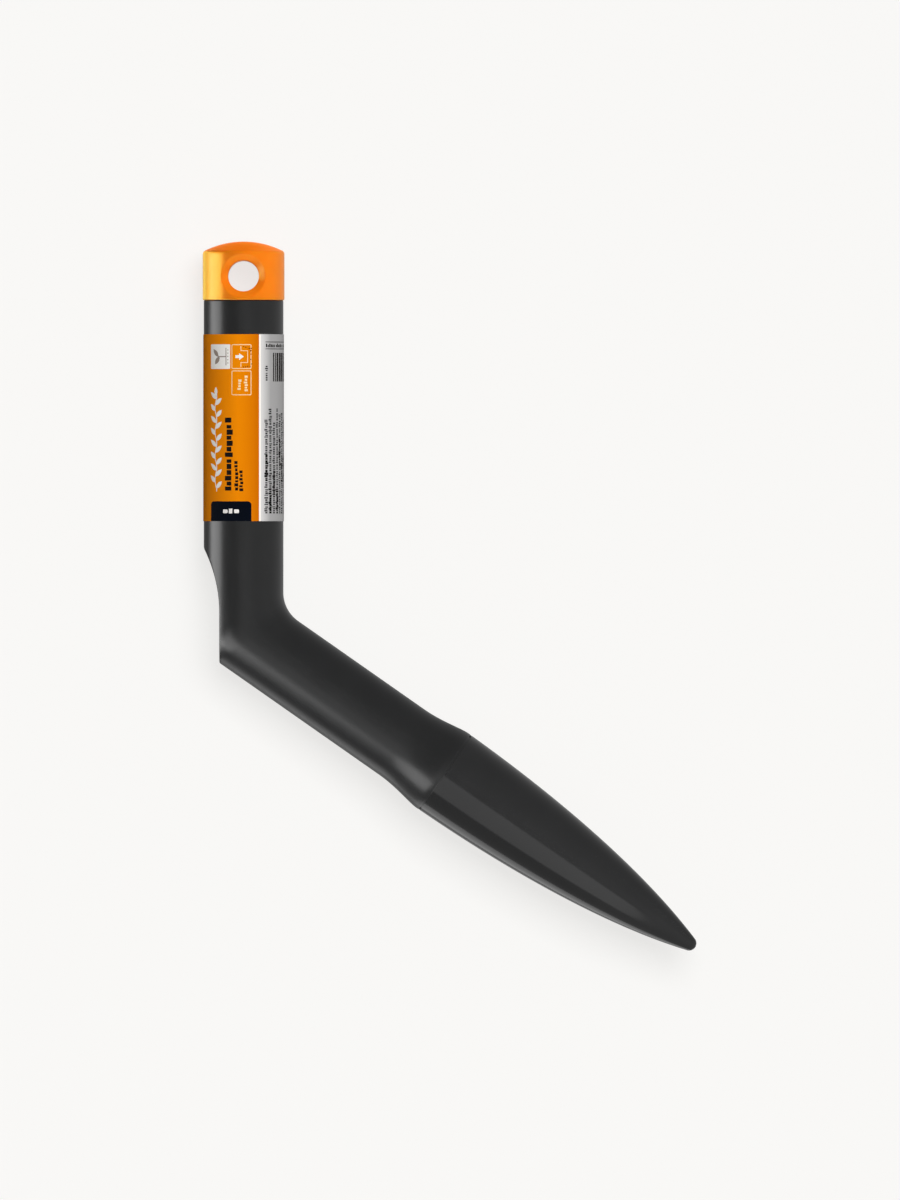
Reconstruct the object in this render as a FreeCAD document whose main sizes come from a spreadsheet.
import FreeCAD, Part

# A cranked garden dibber: a bent hollow handle, an end cap with a hang hole, a printed label round
# the grip and a tapered hollow point plugged into the lower shaft. Millimetres, +Z up.
#
# Each piece is drawn about the bend point, where the grip's axis crosses the shaft's: the grip runs
# along +Y, and the shaft leaves the bend point towards +X and falls away to -Y. The bend lies level,
# as the tool does when it is laid on its side. The last step moves every piece so that the origin is
# under the middle of the whole tool, on the surface that it lies on.

import math
import os

import Sketcher

# name: (value, what it is)
DIMENSIONS = {
    "grip_radius": (15.0, "outer radius of the grip and of the straight part of the shaft"),
    "grip_length": (124.8, "bend point to the cap's seat"),
    "bend_angle": (55.0, "degrees that the shaft turns away from the grip's line"),
    "inner_bend_radius": (13.2, "fillet in the inner side of the elbow"),
    "outer_bend_radius": (13.2, "rounding of the outer side of the elbow, before the thumb rest"),
    "bore_radius": (12.0, "both core bores"),
    "grip_bore_floor": (34.0, "bend point to the closed end of the grip's bore"),
    "shaft_bore_floor": (12.0, "bend point to the closed end of the shaft's bore"),
    "thumb_flat_depth": (9.12, "grip axis to the thumb rest's flat"),
    "thumb_flat_top": (7.05, "height over the bend point where the flat turns into its arc"),
    "thumb_arc_radius": (52.9, "arc that runs the thumb rest out to the grip's surface"),
    "shaft_length": (93.1, "bend point to the seam with the point"),
    "flare_start": (72.75, "bend point to where the shaft begins to widen"),
    "flare_radius": (17.2, "radius of the shaft at the seam"),
    "flare_lead": (8.4, "how far the flare keeps the shaft's direction as it begins"),
    "flare_run_out": (4.4, "how far it lies level before the seam"),
    "seam_half_width": (0.4, "each piece's share of the V groove at the seam"),
    "seam_depth": (0.6, "depth of that groove"),
    "point_length": (114.7, "seam to the nose"),
    "point_radius": (17.1, "radius of the point at the seam"),
    "point_root_slope": (0.6, "degrees between the point's side and its axis at the seam"),
    "point_nose_slope": (18.0, "the same where the side meets the nose"),
    "point_root_lead": (39.5, "how far the side keeps its direction from the seam"),
    "point_nose_lead": (31.1, "the same, back from the nose"),
    "nose_radius": (2.8, "rounded end of the point"),
    "spigot_radius": (11.95, "part of the point that plugs into the shaft"),
    "spigot_length": (18.0, "length of that spigot"),
    "spigot_lead_in": (1.0, "chamfer on its end"),
    "core_radius": (9.4, "hollow of the point at the spigot's mouth"),
    "core_end_radius": (3.0, "hollow of the point at its closed end"),
    "core_length": (92.0, "length of that hollow"),
    "cap_radius": (15.4, "end cap, a little proud of the grip"),
    "cap_height": (22.1, "cap's seat to the top of its dome"),
    "dome_radius": (32.8, "sphere that the dome is part of"),
    "dome_edge_radius": (1.0, "rounding between the dome and the cap's side"),
    "hang_hole_radius": (5.8, "hole right through the cap"),
    "hang_hole_height": (9.05, "cap's seat to the middle of the hole"),
    "hang_hole_chamfer": (2.4, "countersink on both ends of the hole"),
    "plug_radius": (11.95, "part of the cap that plugs into the grip"),
    "plug_length": (12.0, "length of that plug"),
    "plug_bore_radius": (9.5, "hollow of the plug"),
    "label_bottom": (41.5, "bend point to the label's lower edge"),
    "label_height": (70.4, "size of the label along the grip"),
    "label_thickness": (0.2, "printed film and its adhesive"),
    "label_gap": (0.02, "left between the film and the grip"),
}

ELBOW_STEPS = 16
CUT_MARGIN = 5.0
NEAR = 0.01

# An ellipse is drawn from its longer half-axis, so that one is always kept a hair the longer.
LONGER = 1.0000001

doc = FreeCAD.newDocument("garden_dibber")
sheet = doc.addObject("Spreadsheet::Sheet", "sheet")
for row, (alias, (value, meaning)) in enumerate(DIMENSIONS.items(), start=1):
    sheet.set(f"A{row}", alias)
    sheet.set(f"B{row}", str(value))
    sheet.set(f"C{row}", meaning)
    sheet.setAlias(f"B{row}", alias)
doc.recompute()


def size(alias):
    """The value of one of the sheet's cells."""
    return float(sheet.get(alias))


def add(kind, label, **sizes):
    """A new object of that kind, with each named property bound to an expression."""
    made = doc.addObject(kind, label)
    made.Label = label
    for name, expression in sizes.items():
        made.setExpression(name, expression)
    return made


def origin_plane(body, role):
    """One of the body's own origin planes."""
    return next(f for f in body.Origin.OriginFeatures if f.Role == role)


def bend_centres():
    """The centres of the bend's inner fillet and of its outer rounding."""
    half = math.radians(size("bend_angle") / 2)
    bisector = FreeCAD.Vector(math.cos(half), math.sin(half), 0)
    inner = bisector * ((size("grip_radius") + size("inner_bend_radius")) / math.cos(half))
    outer = bisector * ((size("outer_bend_radius") - size("grip_radius")) / math.cos(half))
    return inner, outer


def elbow_reach(turn):
    """Distance from the inner fillet's centre to the elbow's outer side, turn radians round it."""
    inner, outer = bend_centres()
    bend = math.radians(size("bend_angle"))
    ray = FreeCAD.Vector(-math.cos(turn), -math.sin(turn), 0)
    straight = 2 * size("grip_radius") + size("inner_bend_radius")
    rounding_starts = math.atan2(inner.y - outer.y, straight)
    if not rounding_starts < turn < bend - rounding_starts:
        return straight / math.cos(min(turn, bend - turn))
    along = (outer - inner).dot(ray)
    aside = (outer - inner).Length ** 2 - along**2
    return along + math.sqrt(size("outer_bend_radius") ** 2 - aside)


def elbow_shape():
    """The bend: ellipses fanned about the inner fillet's centre, and a smooth loft through them."""
    centre = bend_centres()[0]
    radius = size("grip_radius")
    inner_radius = size("inner_bend_radius")
    sections = []
    for step in range(ELBOW_STEPS + 1):
        turn = math.radians(size("bend_angle")) * step / ELBOW_STEPS
        ray = FreeCAD.Vector(-math.cos(turn), -math.sin(turn), 0)
        half_width = max((elbow_reach(turn) - inner_radius) / 2, radius * LONGER)
        middle = centre + ray * (inner_radius + half_width)
        top = middle + FreeCAD.Vector(0, 0, radius)
        sections.append(Part.Wire(Part.Ellipse(middle + ray * half_width, top, middle).toShape()))
    return Part.makeLoft(sections, True, False)


def turned(points, curves):
    """A solid of revolution about X. points are (distance along X, radius) round the half outline,
    and curves gives the edge that leaves a point where it isn't a straight line."""
    corners = [FreeCAD.Vector(x, y, 0) for x, y in points]
    edges = []
    for index, corner in enumerate(corners):
        following = corners[(index + 1) % len(corners)]
        edges.append(curves.get(index) or Part.LineSegment(corner, following).toShape())
    face = Part.Face(Part.Wire(edges))
    return face.revolve(FreeCAD.Vector(0, 0, 0), FreeCAD.Vector(1, 0, 0), 360)


def bezier(*poles):
    """A Bezier edge through (distance along X, radius) poles."""
    curve = Part.BezierCurve()
    curve.setPoles([FreeCAD.Vector(x, y, 0) for x, y in poles])
    return curve.toShape()


def shaft_shape():
    """The lower shaft with its flare, from the elbow's end to the seam."""
    radius, wide = size("grip_radius"), size("flare_radius")
    begin = bend_centres()[0].y
    seam = size("shaft_length")
    groove = seam - size("seam_half_width")
    flare = size("flare_start")
    outline = [(begin, 0), (begin, radius), (flare, radius)]
    outline += [(groove, wide), (seam, wide - size("seam_depth")), (seam, 0)]
    lead = (flare + size("flare_lead"), radius)
    run_out = (groove - size("flare_run_out"), wide)
    return turned(outline, {2: bezier(outline[2], lead, run_out, outline[3])})


def point_shape():
    """The tapered point with its spigot, solid: the hollow is cut later."""
    seam = size("shaft_length")
    spigot_start = seam - size("spigot_length")
    spigot, lead_in = size("spigot_radius"), size("spigot_lead_in")
    wide, nose = size("point_radius"), size("nose_radius")
    root_slope = math.tan(math.radians(size("point_root_slope")))
    nose_slope = math.radians(size("point_nose_slope"))
    end = seam + size("point_length")
    shoulder = (end - nose + nose * math.sin(nose_slope), nose * math.cos(nose_slope))
    root = (seam + size("seam_half_width"), wide)
    outline = [(spigot_start, 0), (spigot_start, spigot - lead_in), (spigot_start + lead_in, spigot)]
    outline += [(seam, spigot), (seam, wide - size("seam_depth")), root, shoulder, (end, 0)]
    root_lead, nose_lead = size("point_root_lead"), size("point_nose_lead")
    from_root = (root[0] + root_lead, root[1] - root_lead * root_slope)
    to_nose = (shoulder[0] - nose_lead, shoulder[1] + nose_lead * math.tan(nose_slope))
    half_way = (math.pi / 2 - nose_slope) / 2
    nose_middle = (end - nose + nose * math.cos(half_way), nose * math.sin(half_way))
    nose_points = [FreeCAD.Vector(x, y, 0) for x, y in (shoulder, nose_middle, (end, 0))]
    nose_arc = Part.Arc(*nose_points).toShape()
    return turned(outline, {5: bezier(root, from_root, to_nose, shoulder), 6: nose_arc})


def along_grip(distance=0.0):
    """Turns +Z to the grip's direction, that far up it from the bend point."""
    turn = FreeCAD.Rotation(FreeCAD.Vector(1, 0, 0), -90)
    return FreeCAD.Placement(FreeCAD.Vector(0, distance, 0), turn)


def along_shaft(distance=0.0, own_axis=FreeCAD.Vector(0, 0, 1)):
    """Turns an object's own axis to the shaft's direction, that far along it from the bend point."""
    bend = math.radians(size("bend_angle"))
    way = FreeCAD.Vector(math.sin(bend), -math.cos(bend), 0)
    return FreeCAD.Placement(way * distance, FreeCAD.Rotation(own_axis, way))


def place(made, placement):
    made.Placement = placement
    return made


def solid_feature(label, shape, placement=FreeCAD.Placement()):
    """A feature whose outline is a free curve, which neither sketches nor primitives make."""
    made = doc.addObject("Part::Feature", label)
    made.Label = label
    made.Shape = shape
    return place(made, placement)


def joined(kind, label, *pieces):
    made = add(kind, label)
    made.Shapes = list(pieces)
    return made


def cut(label, base, tool):
    made = add("Part::Cut", label)
    made.Base = base
    made.Tool = tool
    return made


def make_handle():
    """The bent moulding: grip, elbow and flared shaft, less the thumb rest and the two core bores."""
    elbow_run = bend_centres()[0].y
    grip = add("Part::Cylinder", "grip_outside", Radius="sheet.grip_radius")
    grip.setExpression("Height", f"sheet.grip_length - {elbow_run}")
    place(grip, along_grip(elbow_run))
    elbow = solid_feature("elbow_outside", elbow_shape())
    shaft_turn = along_shaft(own_axis=FreeCAD.Vector(1, 0, 0))
    shaft = solid_feature("shaft_outside", shaft_shape(), shaft_turn)
    outside = joined("Part::MultiFuse", "handle_outside", grip, elbow, shaft)
    outside.Refine = True

    grip_bore = add("Part::Cylinder", "grip_bore", Radius="sheet.bore_radius")
    grip_bore.setExpression("Height", "sheet.grip_length - sheet.grip_bore_floor")
    place(grip_bore, along_grip(size("grip_bore_floor")))
    shaft_bore = add("Part::Cylinder", "shaft_bore", Radius="sheet.bore_radius")
    shaft_bore.setExpression("Height", "sheet.shaft_length - sheet.shaft_bore_floor")
    place(shaft_bore, along_shaft(size("shaft_bore_floor")))

    room = 2 * (size("grip_radius") + CUT_MARGIN)
    thumb_flat = add("Part::Box", "thumb_flat", Width="2 * sheet.grip_radius + sheet.thumb_flat_top")
    thumb_flat.Length = room
    thumb_flat.Height = room
    flat_corner = FreeCAD.Vector(
        -size("thumb_flat_depth") - room, -2 * size("grip_radius"), -room / 2
    )
    place(thumb_flat, FreeCAD.Placement(flat_corner, FreeCAD.Rotation()))
    thumb_arc = add("Part::Cylinder", "thumb_arc", Radius="sheet.thumb_arc_radius")
    thumb_arc.Height = room
    arc_x = -size("thumb_flat_depth") - size("thumb_arc_radius")
    arc_foot = FreeCAD.Vector(arc_x, size("thumb_flat_top"), -room / 2)
    place(thumb_arc, FreeCAD.Placement(arc_foot, FreeCAD.Rotation()))
    hollows = joined(
        "Part::MultiFuse", "handle_hollows", grip_bore, shaft_bore, thumb_flat, thumb_arc
    )
    return cut("handle", outside, hollows)


def make_point():
    """The tapered point and its spigot, hollowed by one long tapering core."""
    outside = solid_feature(
        "point_outside", point_shape(), along_shaft(own_axis=FreeCAD.Vector(1, 0, 0))
    )
    core = add("Part::Cone", "point_core", Radius1="sheet.core_radius")
    core.setExpression("Radius2", "sheet.core_end_radius")
    core.setExpression("Height", "sheet.core_length")
    place(core, along_shaft(size("shaft_length") - size("spigot_length")))
    return cut("dibber_tip", outside, core)


def make_label():
    """A thin sleeve round the grip."""
    inner_radius = "sheet.grip_radius + sheet.label_gap"
    film = add("Part::Cylinder", "label_outside", Height="sheet.label_height")
    film.setExpression("Radius", f"{inner_radius} + sheet.label_thickness")
    inside = add("Part::Cylinder", "label_inside", Radius=inner_radius, Height="sheet.label_height")
    for sleeve in (film, inside):
        place(sleeve, along_grip(size("label_bottom")))
    return cut("wrap_label", film, inside)


def constrain(sketch, name, expression, *constraint):
    """Adds a sized constraint and binds it to an expression."""
    index = sketch.addConstraint(Sketcher.Constraint(*constraint))
    sketch.renameConstraint(index, name)
    sketch.setExpression(f"Constraints.{name}", expression)


def sketch_on(body, name, role):
    sketch = body.newObject("Sketcher::SketchObject", name)
    sketch.AttachmentSupport = [(origin_plane(body, role), "")]
    sketch.MapMode = "FlatFace"
    return sketch


def cap_profile(body):
    """Half the cap's outline, turned about the grip's axis: dome, side, seat, plug and its hollow."""
    sketch = sketch_on(body, "cap_profile", "XY_Plane")
    seat, radius = size("grip_length"), size("cap_radius")
    plug, hollow = size("plug_radius"), size("plug_bore_radius")
    plug_end = seat - size("plug_length")
    top = seat + size("cap_height")
    middle = top - size("dome_radius")
    shoulder = middle + math.sqrt(size("dome_radius") ** 2 - radius**2)
    corners = [(0, top), (0, seat), (hollow, seat), (hollow, plug_end), (plug, plug_end)]
    corners += [(plug, seat), (radius, seat), (radius, shoulder)]
    points = [FreeCAD.Vector(x, y, 0) for x, y in corners]
    for start, end in zip(points, points[1:]):
        sketch.addGeometry(Part.LineSegment(start, end))
    lines = len(corners) - 1
    for line in range(lines - 1):
        sketch.addConstraint(Sketcher.Constraint("Coincident", line, 2, line + 1, 1))
    for line in range(lines):
        way = "Vertical" if line % 2 == 0 else "Horizontal"
        sketch.addConstraint(Sketcher.Constraint(way, line))
    circle = Part.Circle(FreeCAD.Vector(0, middle, 0), FreeCAD.Vector(0, 0, 1), size("dome_radius"))
    shoulder_angle = math.atan2(shoulder - middle, radius)
    dome = sketch.addGeometry(Part.ArcOfCircle(circle, shoulder_angle, math.pi / 2))
    sketch.addConstraint(Sketcher.Constraint("Coincident", dome, 1, lines - 1, 2))
    sketch.addConstraint(Sketcher.Constraint("Coincident", dome, 2, 0, 1))
    sketch.addConstraint(Sketcher.Constraint("PointOnObject", 0, 1, -2))
    sketch.addConstraint(Sketcher.Constraint("PointOnObject", dome, 3, -2))
    constrain(sketch, "dome", "sheet.dome_radius", "Radius", dome, size("dome_radius"))
    constrain(sketch, "seat", "sheet.grip_length", "DistanceY", -1, 1, 0, 2, seat)
    constrain(sketch, "rise", "sheet.cap_height", "DistanceY", 0, 2, 0, 1, top - seat)
    constrain(sketch, "hollow", "sheet.plug_bore_radius", "DistanceX", -1, 1, 1, 2, hollow)
    constrain(sketch, "reach", "sheet.plug_length", "DistanceY", 2, 2, 2, 1, seat - plug_end)
    constrain(sketch, "plug", "sheet.plug_radius", "DistanceX", -1, 1, 3, 2, plug)
    constrain(sketch, "side", "sheet.cap_radius", "DistanceX", -1, 1, 5, 2, radius)
    sketch.addConstraint(Sketcher.Constraint("Horizontal", 0, 2, 5, 1))
    return sketch


def edges_where(shape, test):
    """Names of the edges whose middle passes the test."""
    names = []
    for number, edge in enumerate(shape.Edges, start=1):
        if test(edge.valueAt((edge.FirstParameter + edge.LastParameter) / 2)):
            names.append(f"Edge{number}")
    return names


def make_cap():
    """The domed cap: turned about the grip's axis, drilled across, edges rounded and countersunk."""
    body = add("PartDesign::Body", "end_cap")
    turn = body.newObject("PartDesign::Revolution", "cap_turned")
    profile = cap_profile(body)
    turn.Profile = profile
    turn.ReferenceAxis = (profile, ["V_Axis"])
    turn.Angle = 360
    doc.recompute()

    hole_height = size("grip_length") + size("hang_hole_height")
    circle_sketch = sketch_on(body, "hang_hole_circle", "XY_Plane")
    centre = FreeCAD.Vector(0, hole_height, 0)
    circle_sketch.addGeometry(
        Part.Circle(centre, FreeCAD.Vector(0, 0, 1), size("hang_hole_radius"))
    )
    circle_sketch.addConstraint(Sketcher.Constraint("PointOnObject", 0, 3, -2))
    height = "sheet.grip_length + sheet.hang_hole_height"
    constrain(circle_sketch, "height", height, "DistanceY", -1, 1, 0, 3, hole_height)
    constrain(circle_sketch, "hole", "sheet.hang_hole_radius", "Radius", 0, size("hang_hole_radius"))
    solid_volume = turn.Shape.Volume
    hole = body.newObject("PartDesign::Pocket", "hang_hole")
    hole.Profile = circle_sketch
    hole.Type = "ThroughAll"
    hole.Midplane = True
    doc.recompute()
    least_cut = math.pi * size("hang_hole_radius") ** 2 * size("cap_radius")
    if solid_volume - hole.Shape.Volume < least_cut:
        raise RuntimeError("the hang hole doesn't go through the cap")

    cap_radius, hole_radius = size("cap_radius"), size("hang_hole_radius")
    shoulder = size("grip_length") + size("cap_height") - size("dome_radius")
    shoulder += math.sqrt(size("dome_radius") ** 2 - cap_radius**2)

    def is_dome_edge(middle):
        across = math.hypot(middle.x, middle.z)
        return abs(middle.y - shoulder) < NEAR and abs(across - cap_radius) < NEAR

    def is_hole_mouth(middle):
        across = math.hypot(middle.x, middle.y - hole_height)
        return abs(across - hole_radius) < NEAR and abs(middle.z) > cap_radius / 2

    dome_edge = body.newObject("PartDesign::Fillet", "dome_edge")
    dome_edge.Base = (hole, edges_where(hole.Shape, is_dome_edge))
    dome_edge.setExpression("Radius", "sheet.dome_edge_radius")
    doc.recompute()
    countersink = body.newObject("PartDesign::Chamfer", "hang_hole_countersink")
    countersink.Base = (dome_edge, edges_where(dome_edge.Shape, is_hole_mouth))
    countersink.setExpression("Size", "sheet.hang_hole_chamfer")
    body.Tip = countersink
    doc.recompute()
    return body


def resting_shift():
    """From the bend point to under the middle of the tool, on the surface that it lies on."""
    bend = math.radians(size("bend_angle"))
    reach = size("shaft_length") + size("point_length") - size("nose_radius")
    right = reach * math.sin(bend) + size("nose_radius")
    front = reach * math.cos(bend) + size("nose_radius")
    left = size("cap_radius")
    back = size("grip_length") + size("cap_height")
    return FreeCAD.Vector((left - right) / 2, (front - back) / 2, size("flare_radius"))


pieces = [make_handle(), make_point(), make_label(), make_cap()]
doc.recompute()
lay_down = FreeCAD.Placement(resting_shift(), FreeCAD.Rotation())
for piece in pieces:
    place(piece, lay_down)
doc.recompute()

failed = [o.Name for o in doc.Objects if {"Invalid", "Error"} & set(o.State)]
if failed:
    raise RuntimeError(f"objects failed to recompute: {failed}")
for piece in pieces:
    if piece.Shape.isNull() or not piece.Shape.isValid() or len(piece.Shape.Solids) != 1:
        raise RuntimeError(f"{piece.Label} isn't one valid solid")

os.makedirs("parts", exist_ok=True)
for piece in pieces:
    piece.Shape.exportStep(f"parts/{piece.Label}.step")
    print(piece.Label, round(piece.Shape.Volume), "mm3")
